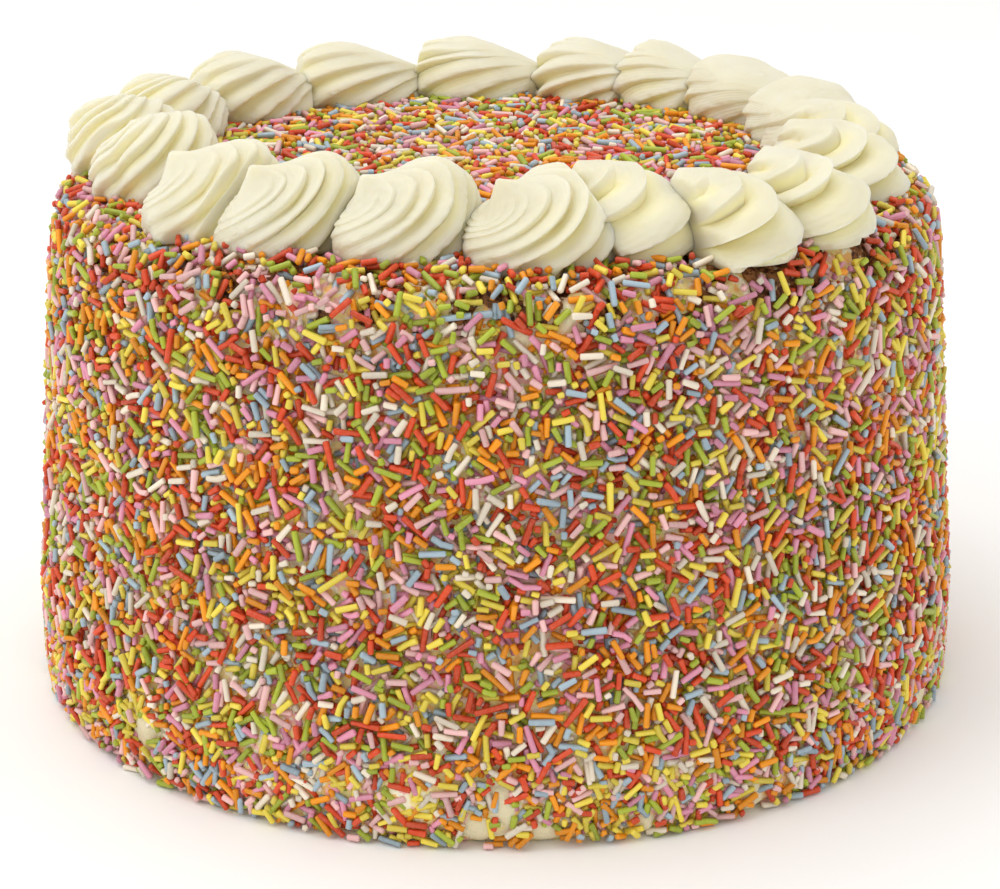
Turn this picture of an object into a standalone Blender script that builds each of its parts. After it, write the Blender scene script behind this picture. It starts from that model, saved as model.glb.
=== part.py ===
"""Sprinkle cake: a tall round cake coated in sugar strands, with a ring of piped cream swirls on top.

Units are metres, +Z is up. The cake stands on z = 0, its axis is the Z axis and its front faces -Y.
"""

import math
from typing import NamedTuple

import bmesh
import bpy
import numpy as np
from mathutils import Matrix, Vector

SEED = 7

# Cake body: outer radius at heights, from the axis at the top, down the side, to the axis at the base.
TOP = 0.1090
BODY_PROFILE = (
    (0.0000, TOP),
    (0.0560, TOP),
    (0.0860, TOP),
    (0.0900, 0.1070),
    (0.0922, 0.1030),
    (0.0930, 0.0970),
    (0.0944, 0.0830),
    (0.0957, 0.0650),
    (0.0970, 0.0480),
    (0.0985, 0.0300),
    (0.1004, 0.0170),
    (0.1012, 0.0080),
    (0.1004, 0.0025),
    (0.0985, 0.0000),
    (0.0000, 0.0000),
)
BODY_STEPS = 60

# Gentle waves of the hand-spread icing: depth, waves around, waves up the side, phase.
ICING_WAVES = (
    (0.00045, 3, 1.0, 0.4),
    (0.00040, 5, 1.5, 2.1),
    (0.00035, 8, 2.0, 4.0),
    (0.00025, 11, 3.0, 1.2),
)

# Sugar strands that are large enough to be modelled one by one.
STRAND_RADIUS = 0.00075
STRAND_LONGEST = 0.0082
STRAND_SHORTEST = 0.0058
STRAND_SIDES = 6
STRAND_LIFT = 0.00025
SIDE_STRANDS = 130
TOP_STRANDS = 22
TOP_STRAND_REACH = 0.050
GOLDEN_ANGLE = math.pi * (3.0 - math.sqrt(5.0))

# Piped swirls, all laid with a star nozzle that turns the same way.
GAP = 0.0003
FOOT_TUCK = 1.18
HEAD_PLACE = 0.72
PEAK_REACH = 0.11
CONTACT_DEPTH = 0.0034
RING_SHIFT_X = -0.001
CREAM_COLOUR = (0.90, 0.85, 0.66, 1.0)
COAT_COLOUR = (0.80, 0.52, 0.34, 1.0)


class Style(NamedTuple):
    """How a swirl is laid: its ribs, and the laws that its surface follows from the tip to the foot."""

    ribs: int
    columns: tuple
    levels: tuple
    twist_power: float
    fall_power: float
    fade: tuple
    crest_place: float
    rise_power: float
    drop_power: float


class Swirl(NamedTuple):
    """One swirl of the ring, in metres, degrees and shares of its half length and height."""

    angle: float
    distance: float
    half_length: float
    half_width: float
    height: float
    axis: float
    tip_place: float
    tip_height: float
    peak: float
    lean: float
    twist: float
    phase: float
    groove: float
    style: Style


# Drawn swirls are pulled out into a low tip, coiled ones lie in wide terraces that fan out from a
# smooth dome, and laid ones lean over into the next swirl.
SEVEN_RINGS = (0.14, 0.28, 0.44, 0.60, 0.76, 0.90, 1.0)
EIGHT_RINGS = (0.12, 0.24, 0.37, 0.50, 0.63, 0.76, 0.89, 1.0)
DRAWN = Style(12, (0.0, 0.76), SEVEN_RINGS, 1.35, 0.9, (0.10, 0.45), 0.76, 2.2, 1.4)
COILED = Style(4, (0.0, 0.20, 0.42, 0.64, 0.84), EIGHT_RINGS, 1.0, 1.4, (0.20, 0.38), 0.84, 1.5, 0.8)
LAID = Style(10, (0.0, 0.78), SEVEN_RINGS, 1.2, 0.9, (0.10, 0.45), 0.78, 2.0, 1.2)

# The ring of swirls, counter-clockwise seen from above, starting at the front left.
SWIRLS = (
    Swirl(-72.0, 0.0715, 0.0150, 0.0128, 0.0170, 30, -0.55, 0.56, 0.0040, 0.10, 3.0, 0.2, 0.0026, DRAWN),
    Swirl(-45.5, 0.0735, 0.0143, 0.0120, 0.0168, 42, -0.70, 0.50, 0.0064, 0.12, 3.0, 1.1, 0.0026, DRAWN),
    Swirl(-31.5, 0.0715, 0.0136, 0.0104, 0.0165, 46, -0.74, 0.50, 0.0066, 0.25, 3.0, 0.5, 0.0026, DRAWN),
    Swirl(-12.6, 0.0690, 0.0149, 0.0117, 0.0165, 34, -0.68, 0.50, 0.0066, 0.10, 3.1, 0.0, 0.0029, DRAWN),
    Swirl(8.0, 0.0715, 0.0155, 0.0138, 0.0160, 12, -0.62, 0.48, 0.0072, 0.05, 3.3, 0.6, 0.0029, DRAWN),
    Swirl(21.5, 0.0712, 0.0136, 0.0130, 0.0150, -53, -0.82, 0.94, 0.0010, 0.00, 5.4, 0.2, 0.0033, COILED),
    Swirl(34.0, 0.0810, 0.0136, 0.0130, 0.0138, -64, -0.84, 0.94, 0.0010, 0.00, 5.8, 0.9, 0.0035, COILED),
    Swirl(49.5, 0.0803, 0.0140, 0.0130, 0.0136, -98, -0.82, 0.96, 0.0010, 0.00, 5.8, 0.4, 0.0035, COILED),
    Swirl(73.5, 0.0740, 0.0152, 0.0140, 0.0130, -110, -0.76, 0.94, 0.0008, 0.00, 5.8, 0.0, 0.0033, COILED),
    Swirl(94.5, 0.0732, 0.0152, 0.0135, 0.0122, -110, -0.66, 0.92, 0.0008, 0.00, 5.4, 0.7, 0.0030, COILED),
    Swirl(113.0, 0.0760, 0.0160, 0.0135, 0.0114, -20, -0.42, 0.78, 0.0010, 0.00, 3.4, 0.3, 0.0025, LAID),
    Swirl(131.5, 0.0780, 0.0155, 0.0135, 0.0126, 0, -0.50, 0.72, 0.0012, 0.05, 3.2, 0.1, 0.0026, LAID),
    Swirl(147.0, 0.0785, 0.0155, 0.0130, 0.0132, 8, -0.66, 0.58, 0.0010, 0.10, 3.0, 0.6, 0.0027, LAID),
    Swirl(161.0, 0.0785, 0.0172, 0.0130, 0.0130, 10, -0.76, 0.50, 0.0006, 0.10, 2.9, 0.2, 0.0028, LAID),
    Swirl(182.5, 0.0785, 0.0188, 0.0132, 0.0134, 10, -0.80, 0.44, 0.0005, 0.10, 2.9, 0.5, 0.0029, LAID),
    Swirl(204.5, 0.0785, 0.0195, 0.0132, 0.0134, 10, -0.80, 0.44, 0.0005, 0.10, 2.9, 0.0, 0.0029, LAID),
    Swirl(226.5, 0.0780, 0.0188, 0.0132, 0.0148, 10, -0.76, 0.48, 0.0005, 0.10, 2.9, 0.4, 0.0028, LAID),
    Swirl(248.5, 0.0775, 0.0172, 0.0130, 0.0145, 10, -0.65, 0.58, 0.0010, 0.10, 3.0, 0.8, 0.0026, DRAWN),
    Swirl(268.5, 0.0779, 0.0160, 0.0130, 0.0154, 15, -0.55, 0.66, 0.0020, 0.10, 3.0, 0.3, 0.0026, DRAWN),
)

# Contact between each swirl and the next one: its place as a share of the way to the next, its lean
# in metres along the ring a metre up, and its slant in metres along the ring a metre inward.
CONTACTS = (
    (0.50, -0.10, 0.20), (0.36, -0.05, 0.25), (0.42, -0.05, 0.25), (0.42, -0.05, 0.20), (0.78, 0.60, 0.00),
    (0.63, 0.05, 0.00), (0.60, 0.05, 0.05), (0.52, 0.05, 0.10), (0.52, 0.05, 0.10), (0.50, 0.05, 0.20),
    (0.51, 0.10, 0.25), (0.50, 0.10, 0.30), (0.47, 0.15, 0.35), (0.48, 0.15, 0.35), (0.49, 0.20, 0.35),
    (0.51, 0.20, 0.35), (0.52, 0.15, 0.35), (0.52, 0.10, 0.30), (0.50, 0.00, 0.25),
)


def clear_scene():
    """Remove whatever the scene already holds."""
    for item in list(bpy.data.objects):
        bpy.data.objects.remove(item, do_unlink=True)


def make_material(name, colour, roughness):
    """A plain Principled material."""
    material = bpy.data.materials.new(name)
    material.use_nodes = True
    shader = material.node_tree.nodes["Principled BSDF"]
    shader.inputs["Base Color"].default_value = colour
    shader.inputs["Roughness"].default_value = roughness
    shader.inputs["Metallic"].default_value = 0.0
    material.diffuse_color = colour
    return material


def side_radius(height):
    """Radius of the turned body at a height on its side."""
    rows = BODY_PROFILE[2:-1]
    heights = [z for r, z in reversed(rows)]
    radii = [r for r, z in reversed(rows)]
    return float(np.interp(height, heights, radii))


def icing_wave(turn, height):
    """How far the icing bulges at an angle about the axis; it fades out at the base and at the top."""
    fade = min(1.0, max(0.0, height / 0.012)) * min(1.0, max(0.0, (0.1000 - height) / 0.012))
    bulge = 0.0
    for depth, around, upward, phase in ICING_WAVES:
        climb = 2.0 * math.pi * upward * height / TOP
        bulge += depth * math.sin(around * turn + climb + phase)
    return bulge * fade


def build_body(collection, material):
    """Turn the profile about the axis, then let the side bulge a little as spread icing does."""
    mesh = bpy.data.meshes.new("cake")
    mesh.from_pydata(
        [(r, 0.0, z) for r, z in BODY_PROFILE],
        [(i, i + 1) for i in range(len(BODY_PROFILE) - 1)],
        [],
    )
    body = bpy.data.objects.new("cake", mesh)
    collection.objects.link(body)
    screw = body.modifiers.new("turn", "SCREW")
    screw.axis = "Z"
    screw.angle = 2.0 * math.pi
    screw.steps = BODY_STEPS
    screw.render_steps = BODY_STEPS
    screw.use_merge_vertices = True
    screw.merge_threshold = 0.00001
    turned = bpy.data.meshes.new_from_object(body.evaluated_get(bpy.context.evaluated_depsgraph_get()))
    body.modifiers.clear()
    body.data = turned
    bpy.data.meshes.remove(mesh)
    turned.name = "cake"
    shape = bmesh.new()
    shape.from_mesh(turned)
    bmesh.ops.remove_doubles(shape, verts=shape.verts, dist=0.00001)
    for vertex in shape.verts:
        radius = math.hypot(vertex.co.x, vertex.co.y)
        if radius > 0.05 and 0.0 < vertex.co.z < TOP:
            turn = math.atan2(vertex.co.y, vertex.co.x)
            scale = 1.0 + icing_wave(turn, vertex.co.z) / radius
            vertex.co.x *= scale
            vertex.co.y *= scale
    shape.to_mesh(turned)
    shape.free()
    turned.materials.clear()
    turned.materials.append(material)
    return body


def strand_mesh(length):
    """A six-sided sugar strand along X with low domed ends."""
    dome = 0.45 * STRAND_RADIUS
    shape = bmesh.new()
    bmesh.ops.create_cone(
        shape,
        cap_ends=True,
        segments=STRAND_SIDES,
        radius1=STRAND_RADIUS,
        radius2=STRAND_RADIUS,
        depth=length - 2.0 * dome,
        matrix=Matrix.Rotation(math.pi / 2.0, 4, "Y"),
    )
    ends = [face for face in shape.faces if len(face.verts) == STRAND_SIDES]
    poked = bmesh.ops.poke(shape, faces=ends)
    for vertex in poked["verts"]:
        vertex.co.x += math.copysign(dome, vertex.co.x)
    mesh = bpy.data.meshes.new("strand")
    shape.to_mesh(mesh)
    shape.free()
    return mesh


def side_place(index, draw):
    """Place and axes of a strand on the side, by an even spiral lattice with a small random shift."""
    share = (index + 0.5) / SIDE_STRANDS
    height = 0.0050 + share * 0.0920 + draw.uniform(-0.0006, 0.0006)
    turn = index * GOLDEN_ANGLE + draw.uniform(-0.03, 0.03)
    radius = side_radius(height) + icing_wave(turn, height)
    slope = (side_radius(height + 0.002) - side_radius(height - 0.002)) / 0.004
    outward = Vector((math.cos(turn), math.sin(turn), -slope)).normalized()
    around = Vector((-math.sin(turn), math.cos(turn), 0.0))
    centre = Vector((radius * math.cos(turn), radius * math.sin(turn), height))
    return centre, outward, around


def top_place(index, draw):
    """Place and axes of a strand on the top, inside the ring of swirls."""
    share = (index + 0.5) / TOP_STRANDS
    radius = TOP_STRAND_REACH * math.sqrt(share)
    turn = index * GOLDEN_ANGLE + draw.uniform(-0.05, 0.05)
    centre = Vector((radius * math.cos(turn), radius * math.sin(turn), TOP))
    return centre, Vector((0.0, 0.0, 1.0)), Vector((-math.sin(turn), math.cos(turn), 0.0))


def build_strands(collection):
    """Lay the strands, the longest first, half sunk in the coat and turned at random."""
    draw = np.random.default_rng(SEED)
    total = SIDE_STRANDS + TOP_STRANDS
    order = draw.permutation(total)
    for rank, index in enumerate(order):
        length = STRAND_LONGEST + (STRAND_SHORTEST - STRAND_LONGEST) * rank / (total - 1)
        if index < SIDE_STRANDS:
            centre, outward, around = side_place(int(index), draw)
        else:
            centre, outward, around = top_place(int(index) - SIDE_STRANDS, draw)
        turn = draw.uniform(0.0, math.pi)
        if index < SIDE_STRANDS and centre.z < 0.0100:
            turn = draw.uniform(-0.35, 0.35)
        upward = outward.cross(around)
        along = around * math.cos(turn) + upward * math.sin(turn)
        side = outward.cross(along)
        frame = Matrix((along, side, outward)).transposed().to_4x4()
        spin = Matrix.Rotation(draw.uniform(0.0, math.pi / 3.0), 4, "X")
        strand = bpy.data.objects.new("strand", strand_mesh(length))
        strand.matrix_world = Matrix.Translation(centre + outward * STRAND_LIFT) @ frame @ spin
        collection.objects.link(strand)


def join_strands(body, cutters):
    """One union joins every strand to the body, and the loose strands are then removed."""
    union = body.modifiers.new("join strands", "BOOLEAN")
    union.operation = "UNION"
    union.operand_type = "COLLECTION"
    union.collection = cutters
    union.solver = "EXACT"
    bpy.context.view_layer.update()
    joined = bpy.data.meshes.new_from_object(body.evaluated_get(bpy.context.evaluated_depsgraph_get()))
    old = body.data
    body.modifiers.clear()
    body.data = joined
    bpy.data.meshes.remove(old)
    joined.name = "cake"
    for item in list(cutters.objects):
        bpy.data.objects.remove(item, do_unlink=True)
    bpy.data.collections.remove(cutters)


def ring_point(angle, distance):
    """Point of the ring of swirls at an angle from the front, counter-clockwise seen from above."""
    turn = math.radians(angle)
    return np.array([RING_SHIFT_X + distance * math.sin(turn), -distance * math.cos(turn), 0.0])


def ring_direction(angle):
    """Direction along the ring, counter-clockwise seen from above."""
    turn = math.radians(angle)
    return np.array([math.cos(turn), math.sin(turn), 0.0])


def swirl_surface(outline, level, swirl):
    """Points of a free swirl before it leans and turns: along its length, across it and up.

    The outline angle runs once round the foot and the level runs from 0 at the tip to 1 at the foot.
    Each line from tip to foot bulges as a sine does and falls as a power of a cosine does, and the
    side away from the tip is lifted into a round head.
    """
    tip = swirl.tip_place * swirl.half_length
    spread = np.sin(FOOT_TUCK * level * math.pi / 2.0)
    x = tip + (swirl.half_length * np.cos(outline) - tip) * spread
    y = swirl.half_width * np.sin(outline) * spread
    foot = level >= 1.0
    fall = np.where(foot, 0.0, np.abs(np.cos(level * math.pi / 2.0)) ** swirl.style.fall_power)
    head = np.where(foot, 0.0, np.abs(np.sin(math.pi * level ** HEAD_PLACE)) ** 1.6)
    head = head * (1.0 + np.cos(outline)) / 2.0
    peak = np.where(foot, 0.0, swirl.peak * np.exp(-((level / PEAK_REACH) ** 1.3)))
    z = swirl.height * (swirl.tip_height * fall + (1.0 - 0.84 * swirl.tip_height) * head) + peak
    return np.stack([x, y, z], axis=-1)


def groove_share(rib_angle, style):
    """Share of the groove depth round the ribs: a crease, a slow rise to the crest and a steep drop."""
    share = (rib_angle * style.ribs / (2.0 * math.pi)) % 1.0
    crest = style.crest_place
    rising = np.clip((crest - share) / crest, 0.0, 1.0) ** style.rise_power
    falling = np.clip((share - crest) / (1.0 - crest), 0.0, 1.0) ** style.drop_power
    return rising + falling


def cut_grooves(points, rib_angle, outline, level, swirl):
    """Press the grooves of the nozzle in towards the middle of the swirl; they fade towards the tip."""
    length, width = swirl.half_length, swirl.half_width
    middle = np.stack(
        [
            np.full_like(level, 0.10 * length),
            np.zeros_like(level),
            np.minimum(points[..., 2], 0.35 * swirl.height),
        ],
        axis=-1,
    )
    inward = middle - points
    reach = np.linalg.norm(inward, axis=-1)
    run = np.hypot(length * (np.cos(outline) - swirl.tip_place), width * np.sin(outline))
    room = np.minimum(1.0, run / (0.95 * length)) ** 1.3
    start, full = swirl.style.fade
    ease = np.clip((level - start) / (full - start), 0.0, 1.0)
    depth = swirl.groove * room * ease * groove_share(rib_angle, swirl.style)
    return points + inward * (depth / np.maximum(reach, 0.001))[..., None]


def lean_and_turn(points, swirl):
    """Lean a swirl along its length, then turn it on the spot; the foot keeps its place."""
    turn = math.radians(swirl.axis)
    x = points[..., 0] + swirl.lean * (points[..., 2] - 0.3 * swirl.height)
    y = points[..., 1]
    return np.stack(
        [x * math.cos(turn) - y * math.sin(turn), x * math.sin(turn) + y * math.cos(turn), points[..., 2]],
        axis=-1,
    )


def press_contact(points, contact, side):
    """Squeeze points along the ring so that they stay on one side of a slanting contact plane."""
    place, direction, lean, slant = contact
    inward = np.array([-direction[1], direction[0], 0.0])
    offset = points - place
    away = side * (offset @ direction + lean * points[..., 2] - slant * (offset @ inward))
    limit = 0.5 * GAP * math.sqrt(1.0 + lean * lean + slant * slant)
    edge = CONTACT_DEPTH - limit
    over = np.maximum(away + CONTACT_DEPTH, 0.0)
    squeezed = np.where(away > -CONTACT_DEPTH, -limit - edge * np.exp(-over / edge), away)
    return points + np.multiply.outer((squeezed - away) * side, direction)


def contact_plane(index):
    """Place, direction, lean and slant of the contact between a swirl and the next one."""
    first = SWIRLS[index]
    second = SWIRLS[(index + 1) % len(SWIRLS)]
    share, lean, slant = CONTACTS[index]
    angle = first.angle + share * ((second.angle - first.angle) % 360.0)
    place = ring_point(angle, 0.5 * (first.distance + second.distance))
    return place, ring_direction(angle), lean, slant


def swirl_points(index):
    """Points of one swirl, the tip first and then ring by ring, with its place on the ring."""
    swirl = SWIRLS[index]
    style = swirl.style
    levels = np.array(style.levels)[:, None]
    creases = (np.arange(style.ribs)[:, None] + np.array([style.columns])).reshape(1, -1)
    rib_angle = 2.0 * math.pi * creases / style.ribs
    outline = rib_angle + swirl.twist * (1.0 - levels) ** style.twist_power + swirl.phase
    level = np.broadcast_to(levels, outline.shape)
    points = swirl_surface(outline, level, swirl)
    points = cut_grooves(points, np.broadcast_to(rib_angle, outline.shape), outline, level, swirl)
    tip = swirl_surface(np.zeros(1), np.zeros(1), swirl)
    local = lean_and_turn(np.concatenate([tip, points.reshape(-1, 3)]), swirl)
    along = ring_direction(swirl.angle)
    inward = np.array([-along[1], along[0], 0.0])
    centre = ring_point(swirl.angle, swirl.distance)
    world = centre + local[:, :1] * along + local[:, 1:2] * inward + local[:, 2:] * np.array([0.0, 0.0, 1.0])
    world = press_contact(world, contact_plane(index), 1.0)
    world = press_contact(world, contact_plane((index - 1) % len(SWIRLS)), -1.0)
    offset = world - centre
    return np.stack([offset @ along, offset @ inward, offset[:, 2]], axis=-1), centre


def build_swirl(index, collection, material):
    """Loft one swirl: its sections follow the ribs, so crests and grooves stay on vertex lines."""
    swirl = SWIRLS[index]
    local, centre = swirl_points(index)
    count = swirl.style.ribs * len(swirl.style.columns)
    rings = len(swirl.style.levels)
    faces = []
    for j in range(count):
        k = (j + 1) % count
        faces.append((0, 1 + j, 1 + k))
        for ring in range(rings - 1):
            low = 1 + ring * count
            faces.append((low + j, low + count + j, low + count + k))
            faces.append((low + j, low + count + k, low + k))
    last = 1 + (rings - 1) * count
    faces.append(tuple(last + j for j in reversed(range(count))))
    name = f"cream_swirl_{index + 1:02d}"
    mesh = bpy.data.meshes.new(name)
    mesh.from_pydata([tuple(p) for p in local], [], faces)
    mesh.materials.append(material)
    piece = bpy.data.objects.new(name, mesh)
    piece.location = Vector(centre) + Vector((0.0, 0.0, TOP + GAP))
    piece.rotation_euler = (0.0, 0.0, math.radians(swirl.angle))
    collection.objects.link(piece)
    return piece


def build():
    """Build the cake and its ring of swirls."""
    clear_scene()
    parts = bpy.data.collections.new("sprinkle cake")
    bpy.context.scene.collection.children.link(parts)
    strands = bpy.data.collections.new("sugar strands")
    bpy.context.scene.collection.children.link(strands)
    coat = make_material("sugar strand coat", COAT_COLOUR, 0.45)
    cream = make_material("piped cream", CREAM_COLOUR, 0.55)
    body = build_body(parts, coat)
    build_strands(strands)
    join_strands(body, strands)
    body.data.materials.clear()
    body.data.materials.append(coat)
    for index in range(len(SWIRLS)):
        build_swirl(index, parts, cream)


build()
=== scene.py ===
"""The looks of a tall iced cake that is coated in sugar strands and ringed with piped cream swirls."""
import math
from typing import NamedTuple

import bpy
import numpy as np
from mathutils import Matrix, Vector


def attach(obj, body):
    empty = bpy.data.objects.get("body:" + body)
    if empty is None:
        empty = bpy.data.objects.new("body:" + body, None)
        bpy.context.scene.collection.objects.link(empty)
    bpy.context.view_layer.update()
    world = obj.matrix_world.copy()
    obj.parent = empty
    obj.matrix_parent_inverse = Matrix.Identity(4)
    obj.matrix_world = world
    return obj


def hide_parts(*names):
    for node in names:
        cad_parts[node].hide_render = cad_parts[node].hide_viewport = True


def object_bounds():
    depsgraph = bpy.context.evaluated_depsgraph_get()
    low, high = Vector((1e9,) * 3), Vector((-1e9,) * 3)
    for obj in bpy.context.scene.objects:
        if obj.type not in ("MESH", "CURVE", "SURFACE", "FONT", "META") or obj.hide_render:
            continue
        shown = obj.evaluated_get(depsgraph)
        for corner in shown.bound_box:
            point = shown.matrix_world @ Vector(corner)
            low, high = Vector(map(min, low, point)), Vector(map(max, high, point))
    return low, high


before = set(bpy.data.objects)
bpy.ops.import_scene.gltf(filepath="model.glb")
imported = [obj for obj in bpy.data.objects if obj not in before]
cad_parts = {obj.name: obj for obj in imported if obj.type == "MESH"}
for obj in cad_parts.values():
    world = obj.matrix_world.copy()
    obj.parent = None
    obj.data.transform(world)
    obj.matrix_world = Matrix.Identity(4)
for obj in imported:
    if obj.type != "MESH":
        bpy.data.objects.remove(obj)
cad_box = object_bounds()

SEED = 20

# Sizes of the cake, in metres, the same as those of its solids. The outline has a radius and a height each.
TOP = 0.1090
FOOT_TO_TOP = (
    (0.0985, 0.0000), (0.1004, 0.0025), (0.1012, 0.0080), (0.1004, 0.0170), (0.0985, 0.0300),
    (0.0970, 0.0480), (0.0957, 0.0650), (0.0944, 0.0830), (0.0930, 0.0970), (0.0922, 0.1030),
    (0.0900, 0.1070), (0.0860, 0.1090), (0.0560, 0.1090),
)
OUTLINE_STEP = 0.0002
ROUNDING_STEPS = 15         # steps on each side over which a corner of the outline is rounded
# Long waves of the icing: depth, waves round the cake, waves up its side, phase.
ICING_WAVES = (
    (0.00045, 3, 1.0, 0.4), (0.00040, 5, 1.5, 2.1), (0.00035, 8, 2.0, 4.0), (0.00025, 11, 3.0, 1.2),
)
ICING_DEPTH = 0.0018        # the icing lies this far inside the outline that its strands fill
BARE_SWELL = 0.0008         # height of the icing's swell at a bare spot
LARGEST_RADIUS = 0.10118    # no strand reaches further out than this
FLOOR_GAP = 0.0001

# Strands. They are laid on beds, which are flat maps of the side and of the top.
STRAND_RADIUS = 0.00065
RADIUS_SPREAD = 0.06        # how much the strands' radius varies, as a share
STRAND_LENGTHS = (0.0032, 0.0013, 0.0014, 0.0066)     # middle, spread, least, most
FILL_LENGTHS = (0.0022, 0.0009, 0.0012, 0.0050)       # the same for those that fill gaps
MAP_RADIUS = 0.0975         # radius at which the unrolled map of the side is true to size
LEAST_SHRINK = 0.72         # no step on a map comes out shorter on the cake than this share of it
SIDE_END = 0.0790           # the side's map reaches in over the top to this radius
TOP_END = 0.0785            # radius of the round on the top that the other map holds
CELL = 0.0003               # side of a map's cell
TILE = 0.0120               # strands that fall at once lie in alternate tiles, so they never touch
TRIES = 7                   # places that each falling strand tries
BED_SINK = 0.0004           # the lowest strands are pressed this far into the icing
PILE_LIMIT = 0.0031         # no strand comes to rest higher than this
STEEPEST = 0.55             # steepest slope of a strand that has come to rest
SLOPE_COST = 0.0006         # how much height a slope counts for when a strand picks its place
BARE_COST = 0.006           # and how much a bare spot does, so that few strands lie there
BED_ROUNDS = 54             # rounds before the first strands are planted
FILL_ROUNDS = 7             # rounds after each planting
FILLS = 5
SIDE_PLANTED = 1480         # strands planted each time
TOP_PLANTED = 300
PLANTED_TRIES = 24
PLANTED_LENGTHS = (0.0024, 0.0040)
PLANTED_LEANS = (8.0, 58.0)      # degrees
PLANTED_PROUD = (0.0001, 0.0008)
PLANTED_SHARE = 2.0         # planted strands carry this in place of the share of them that shows
LEAST_SHARE = 0.07          # strands that show less than this share of their outline aren't made
ROUND_SHARE = 0.50          # those that show more than this get rounded ends
BENT_LENGTH = 0.0036        # of those that are longer than this, a few are bent
BENT_PART = 0.09
BEND = 0.00025              # spread of how far a bent one's middle stands off the line of its ends
COVERED_FOOT = 0.66         # part of a swirl's foot, by area, under which no strand shows

# Each colour and its part of the mix.
STRAND_COLOURS = {
    "ivory": ((0.935, 0.885, 0.80), 0.110),
    "lemon": ((0.935, 0.85, 0.29), 0.150),
    "orange": ((0.95, 0.59, 0.03), 0.155),
    "red": ((0.86, 0.28, 0.11), 0.165),
    "mauve": ((0.89, 0.58, 0.68), 0.100),
    "pink": ((0.95, 0.75, 0.74), 0.110),
    "green": ((0.665, 0.72, 0.19), 0.115),
    "blue": ((0.655, 0.74, 0.79), 0.095),
}

# Places where the icing shows bare: degrees from the front, height and half width.
BARE_SPOTS = (
    (-45.0, 0.0105, 0.0036), (-47.5, 0.0165, 0.0020), (1.0, 0.0085, 0.0024), (-1.5, 0.0035, 0.0030),
    (5.5, 0.0025, 0.0028), (17.0, 0.0030, 0.0022), (2.5, 0.0990, 0.0022), (8.5, 0.1030, 0.0016),
    (-57.0, 0.0240, 0.0020), (30.0, 0.0030, 0.0024), (64.0, 0.0060, 0.0030), (98.0, 0.0090, 0.0036),
    (131.0, 0.0040, 0.0034), (158.0, 0.0120, 0.0026), (171.0, 0.0030, 0.0036), (203.0, 0.0070, 0.0034),
    (236.0, 0.0035, 0.0030), (262.0, 0.0110, 0.0036), (284.0, 0.0040, 0.0030), (188.0, 0.0985, 0.0026),
    (112.0, 0.1000, 0.0024), (246.0, 0.0980, 0.0028),
)

# Cream swirls: sizes in metres, angles in degrees, places as shares of the half length and the height.
FOOT_TUCK = 1.18            # above 1 the foot turns in under the swirl
HEAD_PLACE = 0.72           # below 1 the far side's swell stands nearer the tip
HEAD_POWER = 1.6
HEAD_LOSS = 0.84            # how much lower the swell is for a higher tip
PEAK_REACH = 0.11
PEAK_POWER = 1.3
SOFT_DEPTH = 0.88           # depth of a soft groove beside a sharp one
ROOM_REACH = 1.05           # grooves grow to their full depth over this much of the half length
ROOM_POWER = 1.9
RIB_SPREAD = 0.18           # how unequal the ribs' widths and their grooves' depths are, as shares
GROOVE_SPREAD = 0.24
WANDER = 0.00034            # depths of the soft wander, the nozzle's lines, the torn crests and the grain
NOZZLE_LINES = 0.000035
TORN_CRESTS = 0.00009
GRAIN = 0.00003
OVERLAP = 0.0014            # how far each swirl sinks into the next where they meet
CONTACT_DEPTH = 0.0010      # over this depth the cream is squeezed against the next swirl
FOOT_SINK = 0.0010          # the foot goes on this far into the icing
FOOT_SHRINK = 0.03
RING_SHIFT_X = -0.001
GAP = 0.0003
SWIRL_RINGS = 78
COLUMNS = 216
TIP_LEVEL = 0.012

# Camera at the photograph's viewing angle.
LENS = 87.192
CAMERA_PLACE = (0.001, -0.50619, 0.22824)
CAMERA_DOWN = 19.8          # degrees


class Style(NamedTuple):
    """How a swirl is laid: its ribs and the laws that its surface follows from the tip to the foot."""

    ribs: int
    twist_power: float      # above 1 the ribs turn faster near the tip
    fall_power: float       # below 1 the dome is full, above 1 it is steep
    fade: tuple             # levels between which the grooves grow to their full depth
    crest_place: float      # where a rib's crest stands between its two grooves
    rise_power: float       # how hollow a rib is before its crest
    drop_power: float       # how hollow it is past it
    soft: float             # 1 for grooves with a round floor, 0 for sharp ones


class Swirl(NamedTuple):
    """One swirl of the ring."""

    angle: float            # its place on the ring, from the front
    distance: float         # from the middle of the ring
    half_length: float
    half_width: float
    height: float
    axis: float             # turn of its length out of the ring's direction
    tip_place: float
    tip_height: float
    peak: float             # height of the point that stands on the tip
    lean: float
    twist: float            # turn of a rib from the foot to the tip, in radians
    phase: float
    groove: float           # depth of its grooves
    style: Style


# Drawn swirls are pulled out into a low tip, coiled ones lie in wide terraces that fan out from a
# smooth dome, and laid ones lean over into the next swirl.
DRAWN = Style(12, 1.35, 0.9, (0.08, 0.70), 0.76, 2.0, 1.4, 1.0)
COILED = Style(4, 1.0, 1.4, (0.18, 0.34), 0.86, 1.4, 0.75, 0.0)
LAID = Style(10, 1.2, 0.9, (0.25, 0.85), 0.76, 1.8, 1.4, 1.0)
SOFT = LAID._replace(fade=(0.38, 1.15))

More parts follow.
